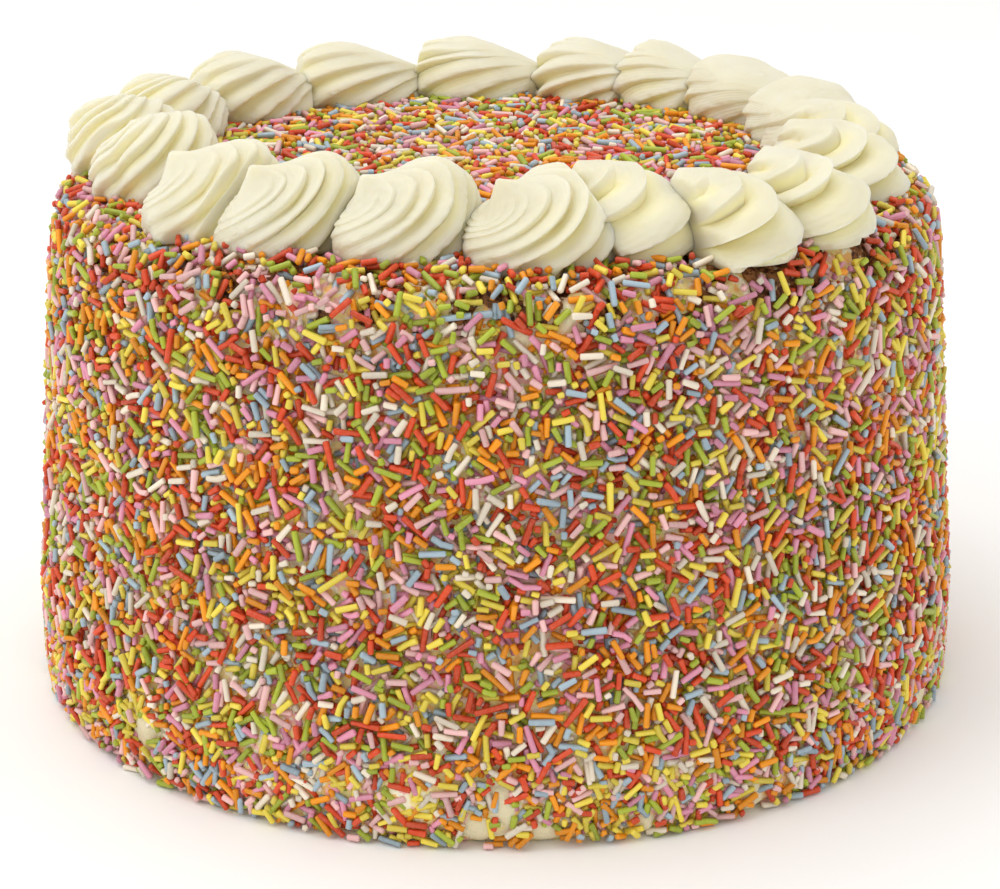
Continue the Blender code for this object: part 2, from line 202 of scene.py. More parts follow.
# Counter-clockwise seen from above, starting at the front left.
SWIRLS = (
    Swirl(-72.0, 0.0715, 0.0150, 0.0128, 0.0170, 30, -0.55, 0.56, 0.0040, 0.10, 3.0, 0.2, 0.0026, DRAWN),
    Swirl(-45.5, 0.0735, 0.0143, 0.0120, 0.0168, 42, -0.70, 0.50, 0.0064, 0.12, 3.0, 1.1, 0.0026, DRAWN),
    Swirl(-31.5, 0.0715, 0.0136, 0.0104, 0.0165, 46, -0.74, 0.50, 0.0066, 0.25, 3.0, 0.5, 0.0026, DRAWN),
    Swirl(-12.6, 0.0690, 0.0149, 0.0117, 0.0165, 34, -0.68, 0.50, 0.0066, 0.10, 3.1, 0.0, 0.0029, DRAWN),
    Swirl(8.0, 0.0715, 0.0155, 0.0138, 0.0160, 12, -0.62, 0.48, 0.0072, 0.05, 3.3, 0.6, 0.0029, DRAWN),
    Swirl(21.5, 0.0712, 0.0136, 0.0130, 0.0150, -53, -0.82, 0.94, 0.0010, 0.00, 5.4, 0.2, 0.0033, COILED),
    Swirl(34.0, 0.0810, 0.0136, 0.0130, 0.0138, -64, -0.84, 0.94, 0.0010, 0.00, 5.8, 0.9, 0.0035, COILED),
    Swirl(49.5, 0.0803, 0.0140, 0.0130, 0.0136, -98, -0.82, 0.96, 0.0010, 0.00, 5.8, 0.4, 0.0035, COILED),
    Swirl(73.5, 0.0740, 0.0152, 0.0140, 0.0130, -110, -0.76, 0.94, 0.0008, 0.00, 5.8, 0.0, 0.0033, COILED),
    Swirl(94.5, 0.0732, 0.0152, 0.0135, 0.0122, -110, -0.66, 0.92, 0.0008, 0.00, 5.4, 0.7, 0.0030, COILED),
    Swirl(113.0, 0.0760, 0.0160, 0.0135, 0.0114, -20, -0.42, 0.78, 0.0010, 0.00, 3.4, 0.3, 0.0025, SOFT),
    Swirl(131.5, 0.0780, 0.0155, 0.0135, 0.0126, 0, -0.50, 0.72, 0.0012, 0.05, 3.2, 0.1, 0.0026, SOFT),
    Swirl(147.0, 0.0785, 0.0155, 0.0130, 0.0132, 8, -0.66, 0.58, 0.0010, 0.10, 3.0, 0.6, 0.0027, LAID),
    Swirl(161.0, 0.0785, 0.0172, 0.0130, 0.0130, 10, -0.76, 0.50, 0.0006, 0.10, 2.9, 0.2, 0.0028, LAID),
    Swirl(182.5, 0.0785, 0.0188, 0.0132, 0.0134, 10, -0.80, 0.44, 0.0005, 0.10, 2.9, 0.5, 0.0029, LAID),
    Swirl(204.5, 0.0785, 0.0195, 0.0132, 0.0134, 10, -0.80, 0.44, 0.0005, 0.10, 2.9, 0.0, 0.0029, LAID),
    Swirl(226.5, 0.0780, 0.0188, 0.0132, 0.0148, 10, -0.76, 0.48, 0.0005, 0.10, 2.9, 0.4, 0.0028, LAID),
    Swirl(248.5, 0.0775, 0.0172, 0.0130, 0.0145, 10, -0.65, 0.58, 0.0010, 0.10, 3.0, 0.8, 0.0026, DRAWN),
    Swirl(268.5, 0.0779, 0.0160, 0.0130, 0.0154, 15, -0.55, 0.66, 0.0020, 0.10, 3.0, 0.3, 0.0026, DRAWN),
)
# Contact between each swirl and the next: its share of the way there, its lean and its slant inward.
CONTACTS = (
    (0.50, -0.10, 0.20), (0.36, -0.05, 0.25), (0.42, -0.05, 0.25), (0.42, -0.05, 0.20), (0.78, 0.60, 0.00),
    (0.63, 0.05, 0.00), (0.60, 0.05, 0.05), (0.52, 0.05, 0.10), (0.52, 0.05, 0.10), (0.50, 0.05, 0.20),
    (0.51, 0.10, 0.25), (0.50, 0.10, 0.30), (0.47, 0.15, 0.35), (0.48, 0.15, 0.35), (0.49, 0.20, 0.35),
    (0.51, 0.20, 0.35), (0.52, 0.15, 0.35), (0.52, 0.10, 0.30), (0.50, 0.00, 0.25),
)


# Numbers and fields.

def smooth_step(low, high, value):
    """0 below low, 1 above high, and 3t^2 - 2t^3 between."""
    share = np.clip((value - low) / (high - low), 0.0, 1.0)
    return share * share * (3.0 - 2.0 * share)


def ripple_set(draw, count, shortest, longest):
    """Waves in space: a random direction times 2 pi over a wavelength, and a random phase."""
    direction = draw.normal(size=(count, 3))
    direction /= np.linalg.norm(direction, axis=1, keepdims=True)
    length = shortest * (longest / shortest) ** draw.random(count)
    return direction * (2.0 * math.pi / length)[:, None], draw.random(count) * 2.0 * math.pi


def ripples(points, waves):
    """Sum of sin(wave . point + phase) over the root of half the number of waves. Its spread is about 1."""
    vectors, phases = waves
    total = np.zeros(points.shape[:-1])
    for vector, phase in zip(vectors, phases):
        total += np.sin(points @ vector + phase)
    return total / math.sqrt(0.5 * len(phases))


# Meshes.

def make_piece(name, points, faces, material, nodes, values=None, normals=None):
    """A smooth mesh from points and a list of face arrays, each array of faces with one number of corners."""
    mesh = bpy.data.meshes.new(name)
    mesh.vertices.add(len(points))
    mesh.vertices.foreach_set("co", np.ascontiguousarray(points, dtype=np.float32).ravel())
    corners = np.concatenate([block.ravel() for block in faces])
    sizes = np.concatenate([np.full(len(block), block.shape[1]) for block in faces])
    mesh.loops.add(len(corners))
    mesh.loops.foreach_set("vertex_index", corners.astype(np.int32))
    mesh.polygons.add(len(sizes))
    starts = np.concatenate([[0], np.cumsum(sizes)[:-1]])
    mesh.polygons.foreach_set("loop_start", starts.astype(np.int32))
    mesh.polygons.foreach_set("use_smooth", np.ones(len(sizes), dtype=bool))
    mesh.update(calc_edges=True)
    for title, data in (values or {}).items():
        layer = mesh.attributes.new(title, "FLOAT", "POINT")
        layer.data.foreach_set("value", np.ascontiguousarray(data, dtype=np.float32).ravel())
    if normals is not None:
        mesh.normals_split_custom_set_from_vertices(normals)
    mesh.materials.append(material)
    piece = bpy.data.objects.new(name, mesh)
    bpy.context.scene.collection.objects.link(piece)
    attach(piece, "root")
    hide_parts(*nodes)
    return piece


def grid_quads(rows, columns, first=0):
    """Quads of a grid that closes on itself along its columns."""
    row, column = np.meshgrid(np.arange(rows - 1), np.arange(columns), indexing="ij")
    here = row * columns + column
    beside = row * columns + (column + 1) % columns
    return first + np.stack([here, beside, beside + columns, here + columns], axis=-1).reshape(-1, 4)


def fan(centre, ring, turned=False):
    """Triangles from a centre point to a closed ring of points."""
    ahead = np.roll(ring, -1)
    pair = (ahead, ring) if turned else (ring, ahead)
    return np.stack([np.full(len(ring), centre), *pair], axis=-1)


# The shape of the side.

def way_along(points):
    """The length of a line of points from its start to each of them."""
    return np.concatenate([[0.0], np.cumsum(np.linalg.norm(np.diff(points, axis=0), axis=1))])


def smooth_outline():
    """The icing's outline, as radius and height at each way along it, with its upward and outward directions.
    The corners are joined by lines cut into even steps, and each step is the mean of its neighbours, which
    count less the further off they are. The result is moved inward by the icing's depth."""
    corners = np.array(FOOT_TO_TOP)
    run = way_along(corners)
    steps = np.arange(0.0, run[-1], OUTLINE_STEP)
    fine = np.stack([np.interp(steps, run, corners[:, i]) for i in (0, 1)], axis=-1)
    before = 2 * fine[:1] - fine[ROUNDING_STEPS:0:-1]
    after = 2 * fine[-1:] - fine[-2:-ROUNDING_STEPS - 2:-1]
    padded = np.concatenate([before, fine, after])
    kernel = np.hanning(2 * ROUNDING_STEPS + 3)[1:-1]
    kernel /= kernel.sum()
    fine = np.stack([np.convolve(padded[:, i], kernel, "valid") for i in (0, 1)], axis=-1)
    along = np.gradient(fine, axis=0)
    along /= np.linalg.norm(along, axis=1, keepdims=True)
    outward = np.stack([along[:, 1], -along[:, 0]], axis=-1)
    inner = fine - outward * ICING_DEPTH
    inner[:, 1] = np.maximum(inner[:, 1], 0.0)
    return way_along(inner), inner, along, outward


def way_to_height(height):
    """How far along its outline the icing reaches a height."""
    return np.interp(height, OUTLINE[1][:, 1], OUTLINE[0])


def way_to_radius(radius):
    """How far along its outline, in the upper half, the icing comes in to a radius."""
    run, inner = OUTLINE[:2]
    half = len(run) // 2
    return float(np.interp(-radius, -inner[half:, 0], run[half:]))


OUTLINE = smooth_outline()
SIDE_LENGTH = way_to_radius(SIDE_END)


def side_frame(across, along):
    """Point, level direction, upward direction and outward side at a place on the map of the side: the same
    of the outline there, turned about the cake's axis by the way across over the map's radius."""
    run, inner, upward, outward = OUTLINE
    turn = across / MAP_RADIUS
    sine, cosine = np.sin(turn), -np.cos(turn)
    zero = np.zeros_like(turn)

    def spin(outline):
        radius, height = (np.interp(along, run, outline[:, i]) for i in (0, 1))
        return np.stack([radius * sine, radius * cosine, height + zero], axis=-1)

    return spin(inner), np.stack([-cosine, sine, zero], axis=-1), spin(upward), spin(outward)


def side_shrink(along):
    """How much shorter a level step is at this place than on the map."""
    return np.interp(along, OUTLINE[0], OUTLINE[1][:, 0]) / MAP_RADIUS


def top_frame(across, along):
    """The same four for the map of the top, whose middle is the middle of the map."""
    zero = np.zeros_like(across)
    point = np.stack([across - TOP_END, along - TOP_END, zero + TOP - ICING_DEPTH], axis=-1)
    level, upward, outward = (zero[..., None] + direction for direction in np.eye(3))
    return point, level, upward, outward


def top_shrink(along):
    """The map of the top is true to size."""
    return np.ones_like(along)


LUMP_DRAW = np.random.default_rng(SEED)
BROAD_LUMPS = ripple_set(LUMP_DRAW, 18, 0.010, 0.034)
SMALL_LUMPS = ripple_set(LUMP_DRAW, 18, 0.0035, 0.0080)
CRUMB_PATCHES = ripple_set(LUMP_DRAW, 18, 0.008, 0.022)


def bareness(points):
    """1 in the middle of each bare spot, falling to 0 at its edge by a smooth step of the way from there. The
    spots are taller than wide, and their edges wander with the small lumps."""
    most = np.zeros(points.shape[:-1])
    wander = 1.0 + 0.30 * ripples(points, SMALL_LUMPS)
    for degrees, height, reach in BARE_SPOTS:
        turn = math.radians(degrees)
        radius = float(np.interp(height, OUTLINE[1][:, 1], OUTLINE[1][:, 0]))
        spot = np.array([radius * math.sin(turn), -radius * math.cos(turn), height])
        away = np.linalg.norm((points - spot) * np.array([1.0, 1.0, 0.75]), axis=-1) * wander
        most = np.maximum(most, smooth_step(1.15 * reach, 0.55 * reach, away))
    return most


def icing_relief(points):
    """Height of the icing over its plain outline: long waves round the cake, which die away at the foot and
    at the top edge, lumps, and a swell at bare spots."""
    turn = np.arctan2(points[..., 0], -points[..., 1])
    height = points[..., 2]
    wave = sum(
        depth * np.sin(around * turn + 2.0 * math.pi * upward * height / TOP + phase)
        for depth, around, upward, phase in ICING_WAVES
    )
    wave = wave * np.clip(height / 0.012, 0, 1) * np.clip((0.100 - height) / 0.012, 0, 1)
    lumps = 0.00022 * ripples(points, BROAD_LUMPS) + 0.00012 * ripples(points, SMALL_LUMPS)
    return wave + lumps + BARE_SWELL * bareness(points)


# Strands.

class Bed:
    """A map that strands settle on: how high the pile stands in each cell, and which strand tops it."""

    def __init__(self, width, length, closed, frame_of, shrink_of):
        """A bare map. It is closed if its left and right edges are one, as on the side."""
        self.closed = closed
        self.frame_of = frame_of
        self.shrink_of = shrink_of
        self.cell_across = width / round(width / CELL)
        self.columns = round(width / self.cell_across)
        self.rows = int(math.ceil(length / CELL))
        self.width = width
        self.length = length
        middles = (np.arange(self.rows) + 0.5) * CELL, (np.arange(self.columns) + 0.5) * self.cell_across
        along, across = np.meshgrid(*middles, indexing="ij")
        points = frame_of(across, along)[0]
        self.bare = bareness(points)
        self.pile = icing_relief(points) - BED_SINK
        self.owner = np.full(self.pile.shape, -1, dtype=np.int32)
        self.strands = []
        self.count = 0

    def cells(self, across, along):
        """Row and column of places on the map, and whether they are on it."""
        column = np.floor(across / self.cell_across).astype(np.int64)
        row = np.floor(along / CELL).astype(np.int64)
        inside = (row >= 0) & (row < self.rows)
        if self.closed:
            column %= self.columns
        else:
            inside &= (column >= 0) & (column < self.columns)
            column = np.clip(column, 0, self.columns - 1)
        return np.clip(row, 0, self.rows - 1), column, inside

    def rest_heights(self, across, along, heading, length, radius):
        """Where a strand comes to rest at each place. Its axis has to clear the pile under nine points of it,
        and under three across it at each. The height at its middle is that of the highest line between a
        point behind and one ahead, or of the pile under its middle, and its slope is the flattest that clears
        the rest."""
        steps = np.linspace(-0.48, 0.48, 9)
        sway = np.array([-0.6, 0.0, 0.6])
        off_map = -0.001
        ahead = steps[:, None] * length[..., None, None]
        aside = sway * radius[..., None, None]
        cosine, sine = np.cos(heading)[..., None, None], np.sin(heading)[..., None, None]
        shrink = self.shrink_of(along)[..., None, None]
        u = across[..., None, None] + (ahead * cosine - aside * sine) / shrink
        v = along[..., None, None] + ahead * sine + aside * cosine
        row, column, inside = self.cells(u, v)
        round_top = np.sqrt(1.0 - sway ** 2) * radius[..., None, None]
        need = np.where(inside, self.pile[row, column], off_map) + round_top
        need = need.max(axis=-1)
        place = steps * length[..., None]
        back, front = need[..., :4, None], need[..., None, 5:]
        back_at, front_at = place[..., :4, None], place[..., None, 5:]
        bridges = ((back * front_at - front * back_at) / (front_at - back_at)).max(axis=(-1, -2))
        middle = np.maximum(bridges, need[..., 4])
        least = ((need[..., 5:] - middle[..., None]) / place[..., 5:]).max(axis=-1)
        most = ((middle[..., None] - need[..., :4]) / -place[..., :4]).min(axis=-1)
        return middle, np.clip(0.0, least, np.maximum(most, least))

    def stamp(self, across, along, heading, length, radius, middle, slope):
        """Raises the pile to the tops of strands that don't touch each other, and notes that they top it."""
        reach = int(math.ceil((0.5 * STRAND_LENGTHS[3] + STRAND_RADIUS) / CELL / LEAST_SHRINK)) + 1
        offset = np.arange(-reach, reach + 1)
        row0 = np.floor(along / CELL).astype(np.int64)
        column0 = np.floor(across / self.cell_across).astype(np.int64)
        row = row0[:, None, None] + offset[:, None]
        column = column0[:, None, None] + offset
        dv = (row + 0.5) * CELL - along[:, None, None]
        du = (column + 0.5) * self.cell_across - across[:, None, None]
        du = du * self.shrink_of(along)[:, None, None]
        cosine, sine = np.cos(heading)[:, None, None], np.sin(heading)[:, None, None]
        ahead = du * cosine + dv * sine
        aside = dv * cosine - du * sine
        size = radius[:, None, None]
        covered = (np.abs(ahead) < 0.5 * length[:, None, None]) & (np.abs(aside) < size)
        covered &= (row >= 0) & (row < self.rows)
        if self.closed:
            column = column % self.columns
        else:
            covered &= (column >= 0) & (column < self.columns)
        which, r, c = np.nonzero(covered)
        bulge = np.sqrt(np.maximum(size ** 2 - aside ** 2, 0.0))
        level = (middle[:, None, None] + slope[:, None, None] * ahead + bulge)[which, r, c]
        rows = row[which, r, 0]
        columns = column[which, 0, c]
        higher = level > self.pile[rows, columns]
        rows, columns, which = rows[higher], columns[higher], which[higher]
        self.pile[rows, columns] = level[higher]
        self.owner[rows, columns] = self.count + which

    def keep(self, across, along, heading, length, radius, middle, slope):
        """Stamps strands on the map and remembers where they lie."""
        self.stamp(across, along, heading, length, radius, middle, slope)
        self.strands.append(np.stack([across, along, heading, length, radius, middle, slope], axis=-1))
        self.count += len(across)

    def lay(self, rounds, lengths, draw, welcome):
        """Drops one strand in every other tile at a time. Each tries several places and keeps the lowest. The
        welcome is the chance that a strand stays at a place."""
        tiles_across = 2 * int(self.width / TILE / 2)
        tiles_along = int(math.ceil(self.length / TILE))
        wide, deep = self.width / tiles_across, self.length / tiles_along
        for number in range(4 * rounds):
            odd_across, odd_along = number % 2, (number // 2) % 2
            tile_u, tile_v = np.meshgrid(
                np.arange(odd_across, tiles_across, 2), np.arange(odd_along, tiles_along, 2), indexing="ij"
            )
            tile_u, tile_v = tile_u.ravel(), tile_v.ravel()
            shape = (len(tile_u), TRIES)
            across = (tile_u[:, None] + draw.random(shape)) * wide
            along = (tile_v[:, None] + draw.random(shape)) * deep
            middle_length, spread, least, most = lengths
            length = np.clip(draw.normal(middle_length, spread, shape[0]), least, most)
            radius = STRAND_RADIUS * (1.0 + RADIUS_SPREAD * draw.normal(size=shape[0]).clip(-2, 2))
            heading = draw.random(shape) * math.pi
            if self.closed:
                low = 0.5 * np.abs(np.sin(heading)) * length[:, None] + radius[:, None]
                along = np.clip(along, low, self.length)
            sizes = np.repeat(length[:, None], TRIES, axis=1), np.repeat(radius[:, None], TRIES, axis=1)
            middle, slope = self.rest_heights(across, along, heading, *sizes)
            row, column, _ = self.cells(across, along)
            cost = middle + SLOPE_COST * np.abs(slope) + BARE_COST * self.bare[row, column]
            best = cost.argmin(axis=1)
            pick = (np.arange(shape[0]), best)
            chosen = [values[pick] for values in (across, along, heading)]
            height, lean = middle[pick], slope[pick]
            fits = (cost[pick] < PILE_LIMIT) & (np.abs(lean) < STEEPEST)
            fits &= draw.random(shape[0]) < welcome(*chosen[:2])
            chosen = [values[fits] for values in chosen]
            self.keep(*chosen, length[fits], radius[fits], height[fits], lean[fits])

    def cover(self, across, along, size, level):
        """Raises the pile to a level in a small round about each place."""
        reach = int(math.ceil(size / CELL))
        offset = np.arange(-reach, reach + 1)
        row = np.floor(along / CELL).astype(np.int64)[:, None, None] + offset[:, None]
        column = np.floor(across / self.cell_across).astype(np.int64)[:, None, None] + offset
        row, column, level = np.broadcast_arrays(row, column, level[:, None, None])
        near = (offset[:, None] ** 2 + offset ** 2) * CELL ** 2 < size ** 2
        near = near & (row >= 0) & (row < self.rows)
        if self.closed:
            column = column % self.columns
        else:
            near &= (column >= 0) & (column < self.columns)
        np.maximum.at(self.pile, (row[near], column[near]), level[near])

    def gather(self):
        """Centres, axes, side directions, sizes and the visible share of all strands."""
        data = np.concatenate(self.strands)
        across, along, heading, length, radius, middle, slope = data.T
        point, level, upward, outward = self.frame_of(across, along)
        flat = level * np.cos(heading)[:, None] + upward * np.sin(heading)[:, None]
        axis = flat + outward * slope[:, None]
        axis /= np.linalg.norm(axis, axis=1, keepdims=True)
        centre = point + outward * middle[:, None]
        seen = np.bincount(self.owner[self.owner >= 0], minlength=len(data))
        share = seen * CELL * self.cell_across * self.shrink_of(along) / (2.0 * radius * length)
        return dict(centre=centre, axis=axis, outward=outward, length=length, radius=radius, share=share)


def planted_strands(bed, number, draw, welcome):
    """Strands that stand in the icing with one end out. Of several places each takes the lowest, and its tip
    stands a little over the pile there, the more so the more it leans."""
    shape = (number, PLANTED_TRIES)
    across = draw.random(shape) * bed.width
    along = 0.0012 + draw.random(shape) * (bed.length - 0.0012)
    row, column, _ = bed.cells(across, along)
    height = bed.pile[row, column] + BARE_COST * bed.bare[row, column]
    best = height.argmin(axis=1)
    pick = (np.arange(number), best)
    across, along, height = across[pick], along[pick], height[pick]
    keep = (draw.random(number) < welcome(across, along)) & (height < PILE_LIMIT)
    across, along, height = across[keep], along[keep], height[keep]
    number = len(across)
    point, level, upward, outward = bed.frame_of(across, along)
    way = draw.random(number) * 2.0 * math.pi
    lean = np.radians(draw.uniform(*PLANTED_LEANS, number))
    flat = level * np.cos(way)[:, None] + upward * np.sin(way)[:, None]
    axis = outward * np.cos(lean)[:, None] + flat * np.sin(lean)[:, None]
    length = draw.uniform(*PLANTED_LENGTHS, number)
    radius = STRAND_RADIUS * (1.0 + RADIUS_SPREAD * draw.normal(size=number).clip(-2, 2))
    proud = draw.uniform(*PLANTED_PROUD, number) + 0.0004 * np.sin(lean)
    tip = point + outward * (height + proud)[:, None]
    bed.cover(across, along, STRAND_RADIUS, height + proud)
    return dict(
        centre=tip - axis * (0.5 * length)[:, None], axis=axis, outward=outward, length=length, radius=radius,
        share=np.full(number, PLANTED_SHARE),
    )


def strand_template(sides, rings):
    """For each point of a strand the ring that it stands on and its angle there, and the strand's faces:
    quads between its rings and a cap at each end."""
    rows = np.repeat(np.array(rings), sides, axis=0)
    angles = np.tile(np.arange(sides) * 2.0 * math.pi / sides, len(rings))
    quads = grid_quads(len(rings), sides)
    low = np.arange(sides)[None, :]
    high = (len(rings) - 1) * sides + np.arange(sides)[::-1][None, :]
    return rows, angles, quads[:, ::-1], np.concatenate([low, high])


# Rings of points along a strand: the place along it from -1 to 1, the way on from there in radii, the share
# of the radius, and how far the normals tilt towards the ends.
FULL_RINGS = ((-1, 0.0, 0.74, -0.86), (-1, 0.30, 1.0, -0.08), (1, -0.30, 1.0, 0.08), (1, 0.0, 0.74, 0.86))
BENT_RINGS = FULL_RINGS[:2] + ((0, 0.0, 1.0, 0.0),) + FULL_RINGS[2:]
PLAIN_RINGS = ((-1, 0.0, 0.92, -0.45), (1, 0.0, 0.92, 0.45))
PLANTED_RINGS = (PLAIN_RINGS[0],) + FULL_RINGS[2:]


def strand_meshes(strands, sides, rings, bends, draw):
    """Points, normals and faces of many strands that share one template. A point lies on the strand's axis
    at its ring's place, moved out by the ring's radius at its angle. A bend moves the middle of the strand
    sideways by half of it, and the ends as far the other way."""
    rows, angles, quads, caps = strand_template(sides, rings)
    centre, axis, outward = strands["centre"], strands["axis"], strands["outward"]
    length, radius = strands["length"][:, None], strands["radius"][:, None]
    side = np.cross(axis, outward)
    side /= np.maximum(np.linalg.norm(side, axis=1, keepdims=True), 1e-9)
    third = np.cross(side, axis)
    spin = draw.random(len(length))[:, None] * 2.0 * math.pi
    # Each strand's ends are a little thinner or thicker than its middle, and a little askew.
    taper = 1.0 + 0.05 * draw.normal(size=(len(length), 1)) * rows[:, 0]
    along = 0.5 * length * rows[:, 0] + radius * rows[:, 1]
    reach = radius * rows[:, 2] * taper
    turned = angles + spin
    bend = bends[:, None] * (1.0 - 2.0 * np.abs(rows[:, 0])) * 0.5
    out_side, out_third = np.cos(turned), np.sin(turned)
    points = (
        centre[:, None] + axis[:, None] * along[..., None]
        + side[:, None] * (reach * out_side + bend)[..., None]
        + third[:, None] * (reach * out_third)[..., None]
    )
    tilt = rows[:, 3]
    radial = np.sqrt(1.0 - tilt ** 2)
    normals = (
        axis[:, None] * tilt[None, :, None]
        + side[:, None] * (radial * out_side)[..., None]
        + third[:, None] * (radial * out_third)[..., None]
    )
    first = np.arange(len(length))[:, None, None] * len(angles)
    quads, caps = (first + quads).reshape(-1, 4), (first + caps).reshape(-1, sides)
    return points.reshape(-1, 3), normals.reshape(-1, 3), quads, caps


def pick_rows(strands, rows):
    """Some of the strands."""
    return {title: values[rows] for title, values in strands.items()}


def clamp_inside(strands):
    """Moves strands inward or up until they are within the cake's box."""
    half = 0.5 * strands["length"][:, None] * strands["axis"]
    for _ in range(3):
        for end in (-1.0, 1.0):
            point = strands["centre"] + end * half
            reach = np.hypot(point[:, 0], point[:, 1])
            over = np.maximum(reach + strands["radius"] - LARGEST_RADIUS, 0.0) / reach
            strands["centre"][:, :2] -= point[:, :2] * over[:, None]
            low = np.maximum(1.1 * strands["radius"] + FLOOR_GAP - point[:, 2], 0.0)
            strands["centre"][:, 2] += low


def under_swirls(places):
    """Which places lie well inside the foot of a swirl, where nothing is seen of them."""
    hidden = np.zeros(len(places), dtype=bool)
    for swirl in SWIRLS:
        along = ring_direction(swirl.angle + swirl.axis)
        offset = places - ring_point(swirl.angle, swirl.distance)
        across = offset @ np.array([-along[1], along[0], 0.0]) / swirl.half_width
        hidden |= (offset @ along / swirl.half_length) ** 2 + across ** 2 < COVERED_FOOT
    return hidden


def build_strands(materials):
    """Lays the strands on the side and the top, gives each a colour, and makes one piece of each colour. The
    colour is drawn by its part of the mix, raised or lowered by ripples so that colours gather in patches."""
    draw = np.random.default_rng(SEED + 1)
    side = Bed(2.0 * math.pi * MAP_RADIUS, SIDE_LENGTH, True, side_frame, side_shrink)
    top = Bed(2.0 * TOP_END, 2.0 * TOP_END, False, top_frame, top_shrink)
    shoulder = way_to_height(0.0985)

    def side_welcome(across, along):
        return 1.0 - 0.42 * smooth_step(shoulder - 0.002, shoulder + 0.003, along)

    def top_welcome(across, along):
        return (np.hypot(across - TOP_END, along - TOP_END) < TOP_END).astype(float)

    planted = []
    for bed, number, welcome in ((side, SIDE_PLANTED, side_welcome), (top, TOP_PLANTED, top_welcome)):
        bed.lay(BED_ROUNDS, STRAND_LENGTHS, draw, welcome)
        for _ in range(FILLS):
            planted.append(planted_strands(bed, number, draw, welcome))
            bed.lay(FILL_ROUNDS, FILL_LENGTHS, draw, welcome)
    groups = [side.gather(), top.gather(), *planted]
    strands = {title: np.concatenate([group[title] for group in groups]) for title in groups[0]}
    strands = pick_rows(strands, (strands["share"] > LEAST_SHARE) & ~under_swirls(strands["centre"]))
    clamp_inside(strands)

    weight = np.stack([
        math.log(part) + 0.65 * ripples(strands["centre"], ripple_set(draw, 12, 0.005, 0.016))
        for _, part in STRAND_COLOURS.values()
    ], axis=-1)
    gumbel = -np.log(-np.log(draw.random(weight.shape)))
    colour = (weight + gumbel).argmax(axis=1)
    tone = draw.random(len(colour))
    for index, name in enumerate(STRAND_COLOURS):
        mine = colour == index
        group = pick_rows(strands, mine)
        group["tone"] = tone[mine]
        roll = draw.random(mine.sum())
        upright = group["share"] == PLANTED_SHARE
        shown = (group["share"] > ROUND_SHARE) & ~upright
        bent = shown & (group["length"] > BENT_LENGTH) & (roll < BENT_PART)
        kinds = (
            (bent, 5, BENT_RINGS, BEND), (shown & ~bent, 5, FULL_RINGS, 0.0),
            (~shown & ~upright, 5, PLAIN_RINGS, 0.0), (upright, 6, PLANTED_RINGS, 0.0),
        )
        points, normals, faces, tones, first = [], [], [], [], 0
        for rows, sides, rings, bend in kinds:
            part = pick_rows(group, rows)
            bends = bend * draw.normal(size=rows.sum())
            co, no, quads, caps = strand_meshes(part, sides, rings, bends, draw)
            faces += [quads + first, caps + first]
            points.append(co)
            normals.append(no)
            tones.append(np.repeat(part["tone"], sides * len(rings)))
            first += len(co)
        make_piece(
            "strands_" + name, np.concatenate(points), faces, materials[name], ["cake"],
            {"tone": np.concatenate(tones)}, np.concatenate(normals),
        )


# Icing.

def build_icing(material):
    """The icing as one closed turned surface: under the foot, up the side, over the top to its middle, pushed
    out by its relief. It carries how much sponge shows through."""
    run, inner, _, outward = OUTLINE
    columns, step, sponge_dip = 560, 0.0012, 0.0006
    turn = np.arange(columns) * 2.0 * math.pi / columns
    side = np.concatenate([np.arange(0.0, run[-1], step), [run[-1]]])
    edge = np.stack([np.interp(side, run, inner[:, i]) for i in (0, 1)], axis=-1)
    push = np.stack([np.interp(side, run, outward[:, i]) for i in (0, 1)], axis=-1)
    under = np.linspace(0.004, edge[0, 0] - 0.0010, 12)
    over = np.linspace(edge[-1, 0] - step, step, 42)
    low = np.stack([under, np.zeros_like(under)], axis=-1)
    high = np.stack([over, np.full_like(over, edge[-1, 1])], axis=-1)
    edge = np.concatenate([low, edge, high])
    push = np.concatenate([np.zeros((len(under), 2)), push, np.tile([0.0, 1.0], (len(over), 1))])

    def spin(outline):
        radius, height = outline[:, :1], outline[:, 1:]
        around = radius * np.sin(turn), radius * -np.cos(turn), np.repeat(height, columns, axis=1)
        return np.stack(around, axis=-1)

    points = spin(edge)
    sponge_and_shade = sponge_and_shade_share(points)
    bare = bareness(points)
    relief = icing_relief(points) * np.clip(points[..., 2] / 0.002, 0, 1) - sponge_dip * sponge_and_shade
    points = points + spin(push) * relief[..., None]
    points[..., 2] = np.maximum(points[..., 2], 0.0)
    flat = points.reshape(-1, 3)
    rows = len(edge)
    poles = np.array([[0.0, 0.0, 0.0], [0.0, 0.0, float(points[-1, :, 2].mean())]])
    last = rows * columns
    faces = [
        grid_quads(rows, columns), fan(last, np.arange(columns), turned=True),
        fan(last + 1, (rows - 1) * columns + np.arange(columns)),
    ]
    sponge_and_shade = np.concatenate([sponge_and_shade.ravel(), [1.0, 0.0]])
    bare = np.concatenate([bare.ravel(), [0.0, 0.0]])
    make_piece(
        "icing", np.concatenate([flat, poles]), faces, material, ["cake"],
        {"sponge_and_shade": sponge_and_shade, "bare": bare},
    )


def sponge_and_shade_share(points):
    """How much sponge shows: patches along the top edge and under the swirls, which are partly painted shade
    under the swirls' feet, and the whole underside.
    """
    radius = np.hypot(points[..., 0], points[..., 1])
    height = points[..., 2]
    # Along the top edge the sponge is partly real and partly painted shade under the swirls' feet.
    edge = smooth_step(0.0965, 0.1005, height) * smooth_step(0.072, 0.078, radius)
    patches = smooth_step(-0.35, 0.65, ripples(points, CRUMB_PATCHES))
    below = smooth_step(0.0008, 0.0001, height) * smooth_step(0.0965, 0.0945, radius)
    return np.maximum(edge * patches * (1.0 - bareness(points)), below)


